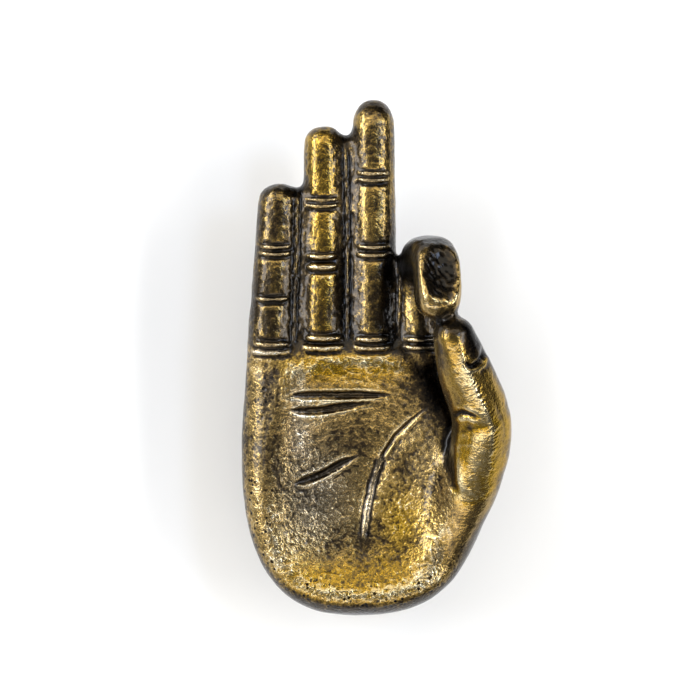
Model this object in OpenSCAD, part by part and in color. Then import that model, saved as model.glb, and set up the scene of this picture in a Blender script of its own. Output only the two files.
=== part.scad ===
// Cast brass hand in the teaching gesture, held off a wall by a turned stand-off.
// The origin lies on the wall at the bolt's axis. +Z runs up the fingers, +X towards the
// thumb and +Y into the wall, so the palm looks along -Y.

/* [Palm] */
// Height from the heel to the roots of the fingers
palm_h = 57; // [53:0.5:61]
// Reach from the bolt's axis to the little finger's edge of the palm
palm_left = 25.4; // [24.5:0.1:28]
// Reach from the bolt's axis to the thumb's edge of the palm
palm_right = 27.4; // [25.5:0.1:30]
// Thickness at the rim
palm_t = 15.5; // [13.5:0.5:18]
// Depth of the hollow below the rim
palm_dish = 5.4; // [1:0.1:5.6]
// Radius of the rounding under the heel
heel_r = 7; // [5:0.5:9]

/* [Straight fingers] */
// Thickness of the three straight fingers
finger_t = 10.6; // [9:0.1:12]
// Clear groove between two fingers
finger_gap = 0.9; // [0.6:0.1:1.4]
// Place of the middle finger's axis, from the bolt's axis towards the thumb
middle_x = 3; // [1:0.1:5]
// Width of the middle finger
middle_w = 10; // [9:0.1:11]
// Length of the middle finger
middle_len = 53.3; // [46:0.1:58]
// Width of the ring finger
ring_w = 9.8; // [9:0.1:11]
// Length of the ring finger
ring_len = 47.5; // [42:0.1:53]
// Width of the little finger
little_w = 10.6; // [9:0.1:11.5]
// Length of the little finger
little_len = 35.3; // [30:0.1:40]
// Lean of the little fingertip towards the ring finger
little_lean = 2.2; // [0:0.1:2.6]
// Depth of the web below the front of the fingers
web_depth = 2.8; // [2:0.1:4]
// Width of the flash line left along each web
flash_w = 0.6; // [0.4:0.1:0.8]

/* [Index finger] */
// Width of the index finger
index_w = 9.6; // [8.5:0.1:10.5]
// Thickness of the index finger
index_t = 9.6; // [8.5:0.1:10.5]
// Straight run of the index finger above its root
index_rise = 11; // [9:0.1:14]
// Height of the curl of the index finger above that run
curl_h = 8.2; // [7:0.1:11]
// Length of the rounded tip of the index finger below its curl
tip_cap = 5; // [4:0.1:6]
// Clear gap inside the curl of the index finger
loop_gap = 9; // [7.5:0.1:12]
// Turn of the curl towards the thumb
index_turn = 11; // [8:0.5:18]
// Lean of the knuckle towards the middle finger
index_lean = 1.2; // [0:0.1:1.6]
// Depth of the hollow on the front of the curl
index_dish = 0.9; // [0.4:0.1:1.4]

/* [Thumb] */
// Width of the thumb at its knuckle
thumb_w = 12.4; // [11:0.1:13.5]
// Thickness of the thumb at its knuckle
thumb_t = 12; // [10.5:0.1:13]
// Width of the thumb near its tip
thumb_tip_w = 8.8; // [7.8:0.1:10]
// Reach of the thumb's knuckle from the bolt's axis
thumb_out = 25.6; // [23.5:0.1:27.5]
// Height of the thumb's knuckle above the heel
thumb_h = 41; // [37:0.5:45]
// Width of the thumbnail
nail_w = 6.4; // [5:0.1:7.5]

/* [Creases and lines] */
// Width of a finger crease
crease_w = 1.5; // [0.8:0.1:1.8]
// Distance between the two creases of a pair
crease_pitch = 1.8; // [1.6:0.1:2.4]
// Width of the lines of the palm
line_w = 1.8; // [1:0.1:2.2]

/* [Stand-off] */
// Height of the bolt's axis above the heel
bolt_h = 47; // [40:0.5:50]
// Clear distance from the wall to the seat in the casting
stand_off_len = 12; // [10:0.5:20]
// Diameter of the neck that meets the casting
stand_off_d = 16; // [15:0.5:20]
// Diameter of the flange on the wall
flange_d = 26; // [23:0.5:34]
// Thickness of the flange at its rim
flange_t = 2.4; // [1.8:0.1:3.5]
// Wall of the boss round the stand-off's seat
boss_wall = 2.6; // [2:0.1:4]
// Depth of the spot-faced seat in the back of the casting
seat_depth = 1; // [0.6:0.1:1.6]

/* [Bolt, nut, washer and plug] */
// Diameter of the bolt's machine thread
bolt_d = 6; // [5:0.5:6.5]
// Root diameter of the bolt's wood thread
bolt_root_d = 4.4; // [3.6:0.1:4.8]
// Length of machine thread inside the casting
bolt_in_hand = 8; // [6:0.5:9]
// Length of the bolt inside the wall
bolt_in_wall = 34; // [28:0.5:38]
// Width across the flats of the lock nut
nut_af = 10; // [9:0.1:10.4]
// Thickness of the lock nut
nut_t = 3.2; // [2.5:0.1:3.6]
// Outside diameter of the spring washer
washer_d = 11.6; // [10:0.1:12]
// Thickness of the spring washer
washer_t = 1.6; // [1:0.1:1.8]
// Diameter of the wall plug
plug_d = 8; // [7.5:0.5:10]
// Length of the wall plug in the wall
plug_len = 40; // [40:1:60]
// Diameter of the plug's collar
plug_collar_d = 11; // [10.5:0.1:13]
// Thickness of the plug's collar
plug_collar_t = 1; // [0.8:0.1:1.5]
// Width of the slots that let the plug spread
plug_slot = 1.2; // [0.8:0.1:1.6]

/* [Clearances] */
// Clearance on the radius between the bolt and what it passes through
bolt_clear = 0.15; // [0.1:0.05:0.3]
// Clearance on the radius round the stand-off in its seat
seat_clear = 0.15; // [0.1:0.05:0.3]
// Clearance round the nut, the washer and the plug's collar in their recesses
pocket_clear = 0.25; // [0.15:0.05:0.5]

/* [Hidden] */
$fn = 64;

// Planes along the forward direction, measured from the wall
back_f = stand_off_len - seat_depth;
front_f = back_f + palm_t;
finger_f = front_f - finger_t / 2;

// The row of finger roots, set out from the middle finger. Each root shrinks as it sinks into the palm.
ring_x = middle_x - (middle_w + ring_w) / 2 - finger_gap;
little_x = ring_x - (ring_w + little_w) / 2 - finger_gap;
index_x = middle_x + (middle_w + index_w) / 2 + finger_gap;
root_left = little_x - little_w / 2;
root_right = index_x + index_w / 2;
root_sink = 7;
root_share = 0.5;

// A finger is [axis at the root, lean, width, length, roundness of the tip, length of the tip, knuckles].
// The knuckles are shares of the length.
middle = [middle_x, -0.2, middle_w, middle_len, 2.2, 6.5, [0.006, 0.378, 0.682]];
ring = [ring_x, 0.3, ring_w, ring_len, 2.5, 4.5, [0.012, 0.375, 0.647]];
little = [little_x, little_lean, little_w, little_len, 2.5, 4, [-0.012, 0.292, 0.585]];
fingers = [little, ring, middle];

// The curl of the index finger: half the distance between its two runs, and where it starts and ends
curl_r = (loop_gap + index_t) / 2;
curl_f = front_f - index_t / 2;
curl_z = palm_h + index_rise;
curl_e = 2.8;
index_tip = [
    index_x - index_lean + 2 * curl_r * sin(index_turn),
    curl_f + 2 * curl_r * cos(index_turn),
    curl_z
];

// Section exponents: 2 is an ellipse, larger values square it up
palm_e = 2.7;
finger_e = 2.3;
thumb_e = 2.4;

function mix(a, b, t) = a + (b - a) * t;
function clamp01(t) = min(max(t, 0), 1);
function smooth(t) = let (u = clamp01(t)) u * u * (3 - 2 * u);
function spow(v, p) = sign(v) * pow(abs(v), p);
function unit(v) = v / norm(v);
function bump(t, w) = exp(-pow(t / w, 2));
function at(x, f, z) = [x, -f, z];

// Smooth curve through stations, each of them [t, value, value, ...]
function seg(s, t, i = 0) = i >= len(s) - 2 || t < s[i + 1][0] ? i : seg(s, t, i + 1);
function slope(s, i) = let (a = s[max(i - 1, 0)], b = s[min(i + 1, len(s) - 1)]) (b - a) / (b[0] - a[0]);
function through(s, t) =
    let (i = seg(s, t), p = s[i], q = s[i + 1], h = q[0] - p[0], u = (t - p[0]) / h)
    (2 * u * u * u - 3 * u * u + 1) * p
    + (u * u * u - 2 * u * u + u) * h * slope(s, i)
    + (3 * u * u - 2 * u * u * u) * q
    + (u * u * u - u * u) * h * slope(s, i + 1);

// Quarter of a superellipse, used for the heel and for every rounded end
function swell(t, p) = pow(max(1 - pow(1 - clamp01(t), p), 0), 1 / p);

// Outline of the palm at height z, left and right of the bolt's axis
hollow_x = (palm_right - palm_left) / 2 - 1;
hollow_w = (palm_right + palm_left) / 2 - 6;
hollow_z = 0.4 * palm_h;
hollow_up = 0.56 * palm_h;
hollow_low = 0.34 * palm_h;
root_roll = 1;
heel_l = 0.63 * palm_h;
heel_rt = 0.53 * palm_h;
function palm_l(z) =
    z < heel_l ? -palm_left * swell(z / heel_l, 2.6)
    : mix(-palm_left, root_left, smooth((z - heel_l) / (palm_h - heel_l)));
function palm_r(z) =
    z < heel_rt ? palm_right * swell(z / heel_rt, 2.3)
    : mix(palm_right, root_right, smooth((z - heel_rt) / (palm_h - heel_rt)));

// Back and front of the palm: the back thins towards the finger roots, the heel is rounded
function palm_back(z) = mix(back_f, front_f - finger_t + 0.4, smooth((z - palm_h + 17) / 18));
function palm_mid(z) = (palm_back(z) + front_f) / 2;
function palm_half(z) = (front_f - palm_mid(z)) * swell(z / heel_r, 2);
function palm_s(x, z) = let (l = palm_l(z), r = palm_r(z)) (2 * x - l - r) / (r - l);
function palm_hollow(x, z) =
    let (h = z > hollow_z ? hollow_up : hollow_low)
    let (q = pow(abs(x - hollow_x) / hollow_w, 2.4) + pow(abs(z - hollow_z) / h, 2.4))
    q < 1 ? palm_dish * pow(1 - q, 1.05) : 0;
function palm_front(x, z) =
    let (s = palm_s(x, z))
    palm_mid(z) + palm_half(z) * pow(max(1 - pow(min(abs(s), 1), palm_e), 0), 1 / palm_e)
    - palm_hollow(x, z) - root_roll * smooth((z - palm_h + 5) / 6);

palm_n = 48;
palm_m = 23;
function palm_step(u) = u - 0.12 * sin(360 * u);
function palm_ring(z) = [
    for (j = [0:palm_n - 1])
    let (
        a = 360 * j / palm_n,
        l = palm_l(z),
        r = palm_r(z),
        x = (l + r) / 2 + spow(cos(a), 2 / palm_e) * (r - l) / 2,
        f = a < 180 ? palm_front(x, z) : palm_mid(z) + palm_half(z) * spow(sin(a), 2 / palm_e)
    )
    at(x, f, z)
];

// Straight finger: a point on its skin, or a lift above it, at share t of its length and angle a.
// The front is at 90 degrees.
function finger_scale(g, t) =
    let (tip = g[5] / g[3])
    t <= 1 - tip ? 1 : pow(max(1 - pow(max(t - 1 + tip, 0) / tip, g[4]), 0.0004), 1 / g[4]);
function pinch(g, t) = let (d = [for (k = g[6]) bump((t - k) * g[3], 2.4)]) d[0] * 0.3 + d[1] + d[2];
function finger_point(g, t, a, lift = 0) =
    let (
        z = palm_h + t * g[3],
        sunk = smooth(-t * g[3] / root_sink),
        k = finger_scale(g, t) * mix(1, root_share, sunk),
        w = g[2] / 2 * (1 - 0.1 * clamp01(t)) * k * (1 - 0.025 * pinch(g, t)) + lift,
        d = finger_t / 2 * (1 - 0.12 * clamp01(t)) * k * (1 - 0.06 * pinch(g, t)) + lift,
        x = g[0] + g[1] * t,
        f = mix(finger_f - 0.15, palm_mid(z), sunk)
    )
    at(x + w * spow(cos(a), 2 / finger_e), f + d * spow(sin(a), 2 / finger_e), z);
finger_n = 22;
function finger_ring(g, t) = [for (j = [0:finger_n - 1]) finger_point(g, t, 360 * j / finger_n)];
function finger_shares(g) =
    let (t0 = -root_sink / g[3], t1 = 1 - g[5] / g[3], n = 11)
    concat(
        [for (i = [0:n]) mix(t0, t1, i / n)],
        [for (q = [18:16:82]) mix(t1, 1, pow(sin(q), 2 / g[4]))],
        [1]
    );

// Index finger: up from its root, round the curl and down to the tip. Step t counts the root run from
// 0 to 1, the curl from 1 to 2 and the tip from 2 to 3.
function index_rise_fore(t) =
    t < 1 ? [palm_h - root_sink + t * (index_rise + root_sink), 0]
    : t < 2 ? [curl_z + curl_h * pow(abs(sin((t - 1) * 180)), 2 / curl_e),
        curl_r * (1 - spow(cos((t - 1) * 180), 2 / curl_e))]
    : [curl_z - (t - 2) * tip_cap, 2 * curl_r];
function index_dir(t) =
    t <= 1 ? [1, 0] : t >= 2 ? [-1, 0] : unit(index_rise_fore(t + 0.01) - index_rise_fore(t - 0.01));
function index_side(t) = index_x - index_lean * smooth(t);
function index_scale(t) =
    t < 1 ? mix(1, root_share, smooth(1 - t * (index_rise + root_sink) / root_sink))
    : t < 2 ? 1 : pow(max(1 - pow(t - 2, 2.2), 0.0004), 1 / 2.2);
function index_e(t) = mix(finger_e, 3.2, smooth(t - 1));
function index_point(t, a, lift = 0) =
    let (
        c = index_rise_fore(t),
        d = index_dir(t),
        k = index_scale(t),
        e = index_e(t),
        u = (index_w / 2 * k + lift) * spow(cos(a), 2 / e),
        v = (index_t / 2 * k + lift) * spow(sin(a), 2 / e),
        fore = c[1] + v * d[0]
    )
    at(index_side(t) + u * cos(index_turn) + fore * sin(index_turn),
        curl_f - u * sin(index_turn) + fore * cos(index_turn),
        c[0] - v * d[1]);
function index_ring(t) = [for (j = [0:finger_n - 1]) index_point(t, 360 * j / finger_n)];
index_shares = concat(
    [0, 0.25, 0.5, 0.75, 1],
    [for (i = [1:11]) 1 + i / 11],
    [for (q = [22:17:82]) 2 + pow(sin(q), 2 / 2.2)],
    [3]
);

// Thumb: stations are [t, x, forward, z, half width, half thickness] from inside the heel to the tip
thumb_top = index_tip[2] - tip_cap + 0.9;
thumb_cap = 4.5;
thumb_x = index_tip[0] + 3.4;
thumb_f = front_f + 4.6;
thumb_tip_f = index_tip[1] + 0.6;
thumb_path = [
    [0, thumb_out - 9.6, mix(back_f, front_f, 0.5), 10, 4.6, 4.6],
    [0.28, thumb_out - 2.9, front_f - 3.4, mix(10, thumb_h, 0.53), 6, 5.8],
    [0.55, thumb_out, thumb_f, thumb_h, thumb_w / 2, thumb_t / 2],
    [0.78, mix(thumb_out, thumb_x, 0.62), mix(thumb_f, thumb_tip_f, 0.64),
        mix(thumb_h, thumb_top, 0.5), mix(thumb_w, thumb_tip_w, 0.3) / 2,
        mix(thumb_t, thumb_tip_w, 0.45) / 2],
    [1, thumb_x, thumb_tip_f, thumb_top - thumb_cap, thumb_tip_w / 2, thumb_tip_w / 2]
];
thumb_roll = -24;
thumb_end = through(thumb_path, 1);
function thumb_axis(t) =
    t <= 1 ? let (p = through(thumb_path, t)) [p[1], p[2], p[3]]
    : let (d = thumb_end - through(thumb_path, 0.97), e = unit([d[1], d[2], d[3]]))
        [thumb_end[1], thumb_end[2], thumb_end[3]] + (t - 1) * thumb_cap * e;
function thumb_size(t) =
    let (p = through(thumb_path, min(t, 1)), k = t <= 1 ? 1 : pow(max(1 - pow(t - 1, 2.2), 0.0004), 1 / 2.2))
    [p[4] * k, p[5] * k];
function thumb_point(t, a, lift = 0) =
    let (
        c = thumb_axis(t),
        g = unit(thumb_axis(min(t, 1) + 0.02) - thumb_axis(min(t, 1) - 0.02)),
        u = unit([1, 0, 0] - g[0] * g),
        v = cross(u, g) * (cross(u, g)[1] < 0 ? -1 : 1),
        r = thumb_roll * smooth(t / 0.6),
        h = thumb_size(t),
        m = (h[0] + lift) * spow(cos(a), 2 / thumb_e),
        n = (h[1] + lift) * spow(sin(a), 2 / thumb_e),
        p = c + u * (m * cos(r) + n * -sin(r)) + v * (m * sin(r) + n * cos(r))
    )
    at(p[0], p[1], p[2]);
function thumb_ring(t) = [for (j = [0:finger_n - 1]) thumb_point(t, 360 * j / finger_n)];
thumb_shares = concat([for (i = [0:14]) i / 14], [for (q = [18:16:82]) 1 + pow(sin(q), 2 / 2.2)], [2]);

// Skin over a stack of rings
module loft(rings) {
    n = len(rings[0]);
    m = len(rings);
    polyhedron(
        points = [for (r = rings) each r],
        faces = concat(
            [[for (j = [n - 1:-1:0]) j]],
            [for (i = [0:m - 2], j = [0:n - 1])
                let (a = i * n + j, b = i * n + (j + 1) % n)
                each [[a, b, b + n], [a, b + n, a + n]]],
            [[for (j = [0:n - 1]) (m - 1) * n + j]]
        ),
        convexity = 8
    );
}

// Groove or bead along a list of points, with its own radius at each of them
module chain(points, radii, sides = 6) {
    for (i = [0:len(points) - 2])
        hull() {
            translate(points[i])
                sphere(r = radii[i], $fn = sides);
            translate(points[i + 1])
                sphere(r = radii[i + 1], $fn = sides);
        }
}

// A crease runs round the front of a finger, a little proud of the skin so that its ends break out
crease_arc = [for (a = [30:30:150]) a];
crease_lift = 0.17;

// Radii that taper to a point at both ends of n steps
function lens(n, w) = [for (i = [0:n]) max(w / 2 * pow(sin(180 * i / n), 0.55), 0.12)];

// Creases across a straight finger. Each knuckle has a pair of them, or one where the pair is closed up.
module finger_creases(g, pairs) {
    for (k = [0:2], side = pairs[k])
        let (t = g[6][k] + side * crease_pitch / 2 / g[3])
            chain([for (a = crease_arc) finger_point(g, t, a, crease_lift)],
                lens(len(crease_arc) - 1, crease_w));
}

module palm_line(route) {
    n = len(route) - 1;
    chain([for (p = route) at(p[0], palm_front(p[0], p[1]), p[1])], lens(n, line_w));
}

// Web between two fingers, with the flash line that the mould leaves along it
module web(x0, x1, top) {
    r = 2.4;
    f = front_f - web_depth - r;
    chain([at(x0, f, palm_h - root_sink), at(x1, f, top - r)], [r, r], 16);
    chain([at(x0, f + r, palm_h - 2), at(x1, f + r, top - r)], [flash_w / 2, flash_w / 2], 8);
}

module hand_form() {
    loft([for (i = [0:palm_m]) palm_ring(0.04 + (palm_h + 1) * palm_step(i / palm_m))]);
    for (g = fingers)
        loft([for (t = finger_shares(g)) finger_ring(g, t)]);
    loft([for (t = index_shares) index_ring(t)]);
    loft([for (t = thumb_shares) thumb_ring(t)]);
    // Boss on the back, flush with the palm, that the stand-off seats in
    translate(at(0, back_f, bolt_h))
        rotate([90, 0, 0])
            cylinder(d1 = stand_off_d + 2 * (seat_clear + boss_wall),
                d2 = stand_off_d + 4 * boss_wall,
                h = palm_t / 2);
    web(little_x + (little_w + finger_gap) / 2, ring_x - (ring_w - 1) / 2, palm_h + little_len - 1);
    web(middle_x - (middle_w + finger_gap) / 2, middle_x - (middle_w - 0.4) / 2, palm_h + ring_len - 2);
    web(middle_x + (middle_w + finger_gap) / 2, middle_x + middle_w / 2, curl_z + curl_h);
}

module hand_cuts() {
    finger_creases(little, [[-1, 1], [0], [-1, 1]]);
    finger_creases(ring, [[-1, 1], [-1, 1], [-1, 1]]);
    finger_creases(middle, [[-1, 1], [-1, 1], [-1, 1]]);
    for (side = [-1, 1])
        let (t = (root_sink + 0.5 + side * crease_pitch / 2) / (root_sink + index_rise))
            chain([for (a = crease_arc) index_point(t, a, crease_lift)], lens(len(crease_arc) - 1, crease_w));
    // Heart line, doubled
    heart_z = palm_h - 10;
    palm_line([[-15, heart_z], [-9, heart_z + 0.3], [-3, heart_z + 0.2], [3, heart_z], [8, heart_z - 0.1]]);
    palm_line([[-16, heart_z - 2.8], [-11, heart_z - 3.2], [-6, heart_z - 3], [-1, heart_z - 2.2],
        [4, heart_z - 1.6]]);
    // Head line
    palm_line([[-14, palm_h - 29], [-9, palm_h - 27.4], [-4, palm_h - 25.3], [1, palm_h - 22.8]]);
    // Life line round the ball of the thumb
    palm_line([[16, palm_h - 11.5], [11.5, palm_h - 15.6], [8, palm_h - 19], [5.4, palm_h - 23],
        [3.6, palm_h - 27.5], [2.2, palm_h - 33], [0.8, palm_h - 41]]);
    // Crease at the thumb's knuckle
    chain([for (a = [60:30:180]) thumb_point(0.59, a, crease_lift)], lens(4, crease_w));
    // Cuticle round the thumbnail
    chain([for (q = [30:34:270]) thumb_point(0.92 + 0.13 * cos(q), 60 + 4.4 * nail_w * sin(q), crease_lift)],
        lens(7, crease_w));
    // Hollow on the front of the curled finger
    let (c = index_rise_fore(1.8))
        translate(at(index_side(1.8) + c[1] * sin(index_turn), curl_f + c[1] * cos(index_turn), c[0]))
            rotate([-16, 0, index_turn])
                translate([0, -index_t / 2 + index_dish - 4.6, 0])
                    scale([0.74 * index_w, 6, 13])
                        sphere(r = 1, $fn = 28);
}

module fixing_cuts() {
    // Spot-faced seat for the stand-off, and the tapped hole for the bolt
    translate([0, -back_f - seat_depth, bolt_h])
        rotate([-90, 0, 0])
            cylinder(d = stand_off_d + 2 * seat_clear, h = back_f);
    translate([0, -stand_off_len - bolt_in_hand - 0.5, bolt_h])
        rotate([-90, 0, 0])
            cylinder(d = bolt_d + 2 * bolt_clear, h = bolt_in_hand + 1.5);
}

module hand_casting() {
    color("#8a6a34")
        translate([0, 0, -bolt_h])
            difference() {
                hand_form();
                hand_cuts();
                fixing_cuts();
            }
}

// Turned profiles are drawn as [radius, distance in front of the wall]
module turned() {
    rotate([90, 0, 0])
        rotate_extrude()
            children();
}

nut_pocket = nut_t + washer_t + pocket_clear;
nut_pocket_d = max(nut_af / cos(30), washer_d) + 2 * pocket_clear;
collar_pocket = plug_collar_t + pocket_clear;

module stand_off() {
    neck_r = stand_off_d / 2;
    rim_r = flange_d / 2;
    cove = min(rim_r - neck_r - 1.2, stand_off_len - flange_t - seat_depth - 2);
    color("#957238")
        turned()
            difference() {
                union() {
                    translate([0, 0])
                        square([rim_r - 0.6, flange_t]);
                    translate([0, 0.6])
                        square([rim_r, flange_t - 1.2]);
                    translate([rim_r - 0.6, 0.6])
                        circle(r = 0.6);
                    translate([rim_r - 0.6, flange_t - 0.6])
                        circle(r = 0.6);
                    square([neck_r, stand_off_len]);
                    // Cove from the neck down to the flange
                    difference() {
                        translate([0, flange_t / 2])
                            square([neck_r + cove, flange_t / 2 + cove]);
                        translate([neck_r + cove, flange_t + cove])
                            circle(r = cove);
                    }
                }
                square([bolt_d / 2 + bolt_clear, stand_off_len]);
                translate([0, stand_off_len - nut_pocket])
                    square([nut_pocket_d / 2, nut_pocket]);
                square([plug_collar_d / 2 + pocket_clear, collar_pocket]);
            }
}

module spring_washer() {
    gap = 12;
    bore_r = bolt_d / 2 + bolt_clear;
    color("#8f9296")
        translate([0, -stand_off_len + washer_t, 0])
            rotate([90, 0, 0])
                rotate_extrude(angle = 360 - gap)
                    translate([bore_r, 0])
                        square([washer_d / 2 - bore_r, washer_t]);
}

module lock_nut() {
    corner_r = nut_af / cos(30) / 2;
    color("#a3a5a8")
        translate([0, -stand_off_len + washer_t + nut_t, 0])
            rotate([90, 0, 0])
                difference() {
                    intersection() {
                        linear_extrude(height = nut_t)
                            circle(r = corner_r, $fn = 6);
                        // Chamfered corners on both faces
                        rotate_extrude()
                            polygon([
                                [0, 0],
                                [nut_af / 2 - 0.1, 0],
                                [corner_r, 0.35],
                                [corner_r, nut_t - 0.35],
                                [nut_af / 2 - 0.1, nut_t],
                                [0, nut_t]
                            ]);
                    }
                    translate([0, 0, -1])
                        cylinder(d = bolt_d + 2 * bolt_clear, h = nut_t + 2);
                }
}

module hanger_bolt() {
    top = stand_off_len + bolt_in_hand;
    point = 8;
    color("#9a9da1")
        turned()
            polygon([
                [0, -bolt_in_wall],
                [0.5, -bolt_in_wall],
                [bolt_root_d / 2, -bolt_in_wall + point],
                [bolt_root_d / 2, -bolt_d / 2],
                [bolt_d / 2, -bolt_d / 4],
                [bolt_d / 2, top - 0.7],
                [bolt_d / 2 - 0.7, top],
                [0, top]
            ]);
}

module wall_plug() {
    mouth_r = bolt_d / 2 + bolt_clear;
    bore_r = bolt_root_d / 2 + bolt_clear;
    mouth = bolt_d / 2 + 1;
    slot_from = 11;
    nose = 4;
    color("#8c8f8c")
        difference() {
            turned()
                difference() {
                    polygon([
                        [0, -plug_len],
                        [plug_d / 2 - 1.4, -plug_len],
                        [plug_d / 2, -plug_len + nose],
                        [plug_d / 2, 0],
                        [plug_collar_d / 2, 0],
                        [plug_collar_d / 2, plug_collar_t],
                        [0, plug_collar_t]
                    ]);
                    translate([0, -mouth])
                        square([mouth_r, mouth + plug_collar_t]);
                    translate([0, -bolt_in_wall - 2])
                        square([bore_r, bolt_in_wall]);
                    // Barb notches along the spreading length
                    for (k = [0:4])
                        translate([plug_d / 2, -slot_from - 4 - 4.6 * k])
                            rotate(45)
                                square(0.9, center = true);
                }
            for (a = [0, 90])
                rotate([0, a, 0])
                    translate([-plug_d, slot_from, -plug_slot / 2])
                        cube([2 * plug_d, plug_len - slot_from - nose - 1, plug_slot]);
        }
}

hand_casting();
stand_off();
spring_washer();
lock_nut();
hanger_bolt();
wall_plug();
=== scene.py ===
import math
from types import SimpleNamespace

import bmesh
import bpy
import numpy as np
from mathutils import Matrix, Vector, noise
from mathutils.bvhtree import BVHTree


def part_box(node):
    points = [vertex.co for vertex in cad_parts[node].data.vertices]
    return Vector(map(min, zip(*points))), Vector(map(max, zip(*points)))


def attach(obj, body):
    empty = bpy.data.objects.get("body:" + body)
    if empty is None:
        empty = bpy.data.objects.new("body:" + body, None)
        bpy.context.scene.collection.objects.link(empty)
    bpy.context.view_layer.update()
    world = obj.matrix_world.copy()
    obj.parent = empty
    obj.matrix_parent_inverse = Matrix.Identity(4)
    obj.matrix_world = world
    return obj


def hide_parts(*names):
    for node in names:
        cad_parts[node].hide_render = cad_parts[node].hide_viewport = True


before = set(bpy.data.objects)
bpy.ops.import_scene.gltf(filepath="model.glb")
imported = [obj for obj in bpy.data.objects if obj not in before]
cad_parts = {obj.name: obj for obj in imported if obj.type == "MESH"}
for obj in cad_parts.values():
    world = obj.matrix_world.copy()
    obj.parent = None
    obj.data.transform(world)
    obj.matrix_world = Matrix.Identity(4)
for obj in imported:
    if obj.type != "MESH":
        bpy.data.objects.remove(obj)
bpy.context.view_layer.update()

bl_info = {
    "name": "Cast Brass Hand",
    "version": (1, 0, 0),
    "blender": (4, 5, 0),
    "location": "View3D > Sidebar > Brass Hand",
    "description": "Dresses a cast brass hand in the teaching gesture and the fixing that holds it off a wall",
    "category": "Object",
}

# Millimetres in a metre
MM = 1000

# The eye looks straight at the wall. Marks on the front of the hand are laid out in millimetres as the eye
# sees them, on a plane a little in front of the palm's hollow.
EYE = 700.0
PLANE = 20.0
AIM = (-2.14, 9.8)
VIEW_WIDTH = 149.5

# Raised folds across the fingers: left end, right end, height, strength
FOLDS = [
    (-21.6, -14.4, 32.0, 0.9), (-21.8, -14.5, 30.6, 1.0),
    (-22.7, -14.9, 20.9, 1.0),
    (-23.0, -14.7, 11.1, 1.1), (-23.5, -14.6, 9.6, 1.1),
    (-12.0, -4.3, 42.1, 0.9), (-12.2, -4.2, 40.9, 1.0),
    (-12.0, -4.5, 30.0, 1.0), (-11.8, -4.6, 27.7, 1.1),
    (-12.0, -3.6, 12.5, 1.2), (-12.6, -3.4, 10.5, 1.2),
    (-0.9, 6.4, 47.7, 0.9), (-1.1, 6.4, 46.4, 1.0),
    (-0.9, 6.8, 32.0, 1.0), (-1.1, 7.0, 30.3, 1.0),
    (-1.3, 6.4, 12.2, 1.2), (-1.7, 7.0, 10.5, 1.2),
    (9.0, 16.6, 12.2, 1.0), (8.8, 16.8, 10.6, 1.0),
]
FOLD_SHAPE = [(0.0, 0.56, 0.5), (-0.88, -0.34, 0.28), (0.84, -0.22, 0.28)]

# Flash lines along the webs between the fingers
FLASH = [
    [(-14.2, 9.5, 0.3), (-14.0, 16, 1), (-13.6, 30, 1), (-13.3, 42, 1), (-13.2, 45, 0)],
    [(-2.7, 10.5, 0.3), (-2.6, 16, 1), (-2.6, 35, 1), (-3.0, 50, 1), (-3.3, 55, 0)],
    [(8.3, 13, 0), (8.4, 17, 1), (8.5, 22, 1), (8.4, 27, 0)],
]
FLASH_SHAPE = [(0.0, 0.42, 0.2), (-0.8, -0.25, 0.45), (0.8, -0.25, 0.45)]

# Lines of the palm and marks on the thumb: points with the weight that the line has there
HEART_UPPER = [(-15.6, -0.1, 0), (-12.4, 0, 0.9), (-8, 0.1, 1), (0, 0.2, 0.8), (5, 0.1, 0.5), (7.3, 0, 0)]
HEART_LOWER = [
    (-16, -3.1, 0), (-12.6, -3.2, 0.9), (-9, -3.2, 1), (-4, -2.3, 0.9), (0.5, -1.7, 0.5), (4.2, -1.3, 0)]
HEAD = [(-14.6, -19.0, 0), (-11.8, -18.1, 1), (-8, -16.6, 1), (-3.5, -14.2, 0.8), (1.2, -12.2, 0)]
LIFE_UPPER = [(15.8, -1, 0), (11, -5.2, 0.8), (7.6, -8.4, 1), (5, -12.4, 0.9), (3.6, -15.5, 0)]
LIFE_LOWER = [
    (5.4, -11.6, 0), (4.2, -14.2, 0.8), (2.7, -19, 1), (1.5, -24.5, 1), (0.9, -29.5, 0.7), (0.6, -31.5, 0)]
# Each line with its shape. The lower life line comes last
PALM_LINES = [
    (HEART_UPPER, [(0.35, -0.42, 0.38), (-0.3, -0.36, 0.38), (1.2, 0.15, 0.4), (-1.15, 0.32, 0.42)]),
    (HEART_LOWER, [(0.3, -0.36, 0.38), (-0.35, -0.42, 0.38), (1.15, 0.22, 0.4), (-1.2, 0.2, 0.4)]),
    (HEAD, [(0.3, -0.36, 0.4), (-0.3, -0.42, 0.4), (1.15, 0.24, 0.4), (-1.15, 0.34, 0.42)]),
    (LIFE_UPPER, [(0.0, -0.36, 0.34), (0.8, 0.22, 0.34), (-0.8, 0.22, 0.34)]),
    (LIFE_LOWER, [(0.0, 0.3, 0.5), (-0.95, -0.2, 0.34), (0.9, -0.08, 0.34)]),
]
CUTICLE = [
    (22.3, 7.6, 0), (22.9, 6.8, 0.8), (23.6, 6.2, 1), (24.7, 6.4, 1), (26, 7.2, 1), (26.6, 8.8, 0.8),
    (26.2, 11.2, 0)]
THUMB_FOLD = [(19.2, -3.9, 0), (20.6, -4.1, 0.9), (22.6, -4.3, 1), (24.4, -4.6, 0.7), (26, -5.2, 0)]
THUMB_MARKS = [
    (CUTICLE, [(0.0, -1.1, 0.5), (-1.0, 0.18, 0.45)]),
    (THUMB_FOLD, [(0.0, -0.6, 0.6), (1.3, 0.12, 0.7), (-1.3, 0.12, 0.7)]),
]
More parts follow.
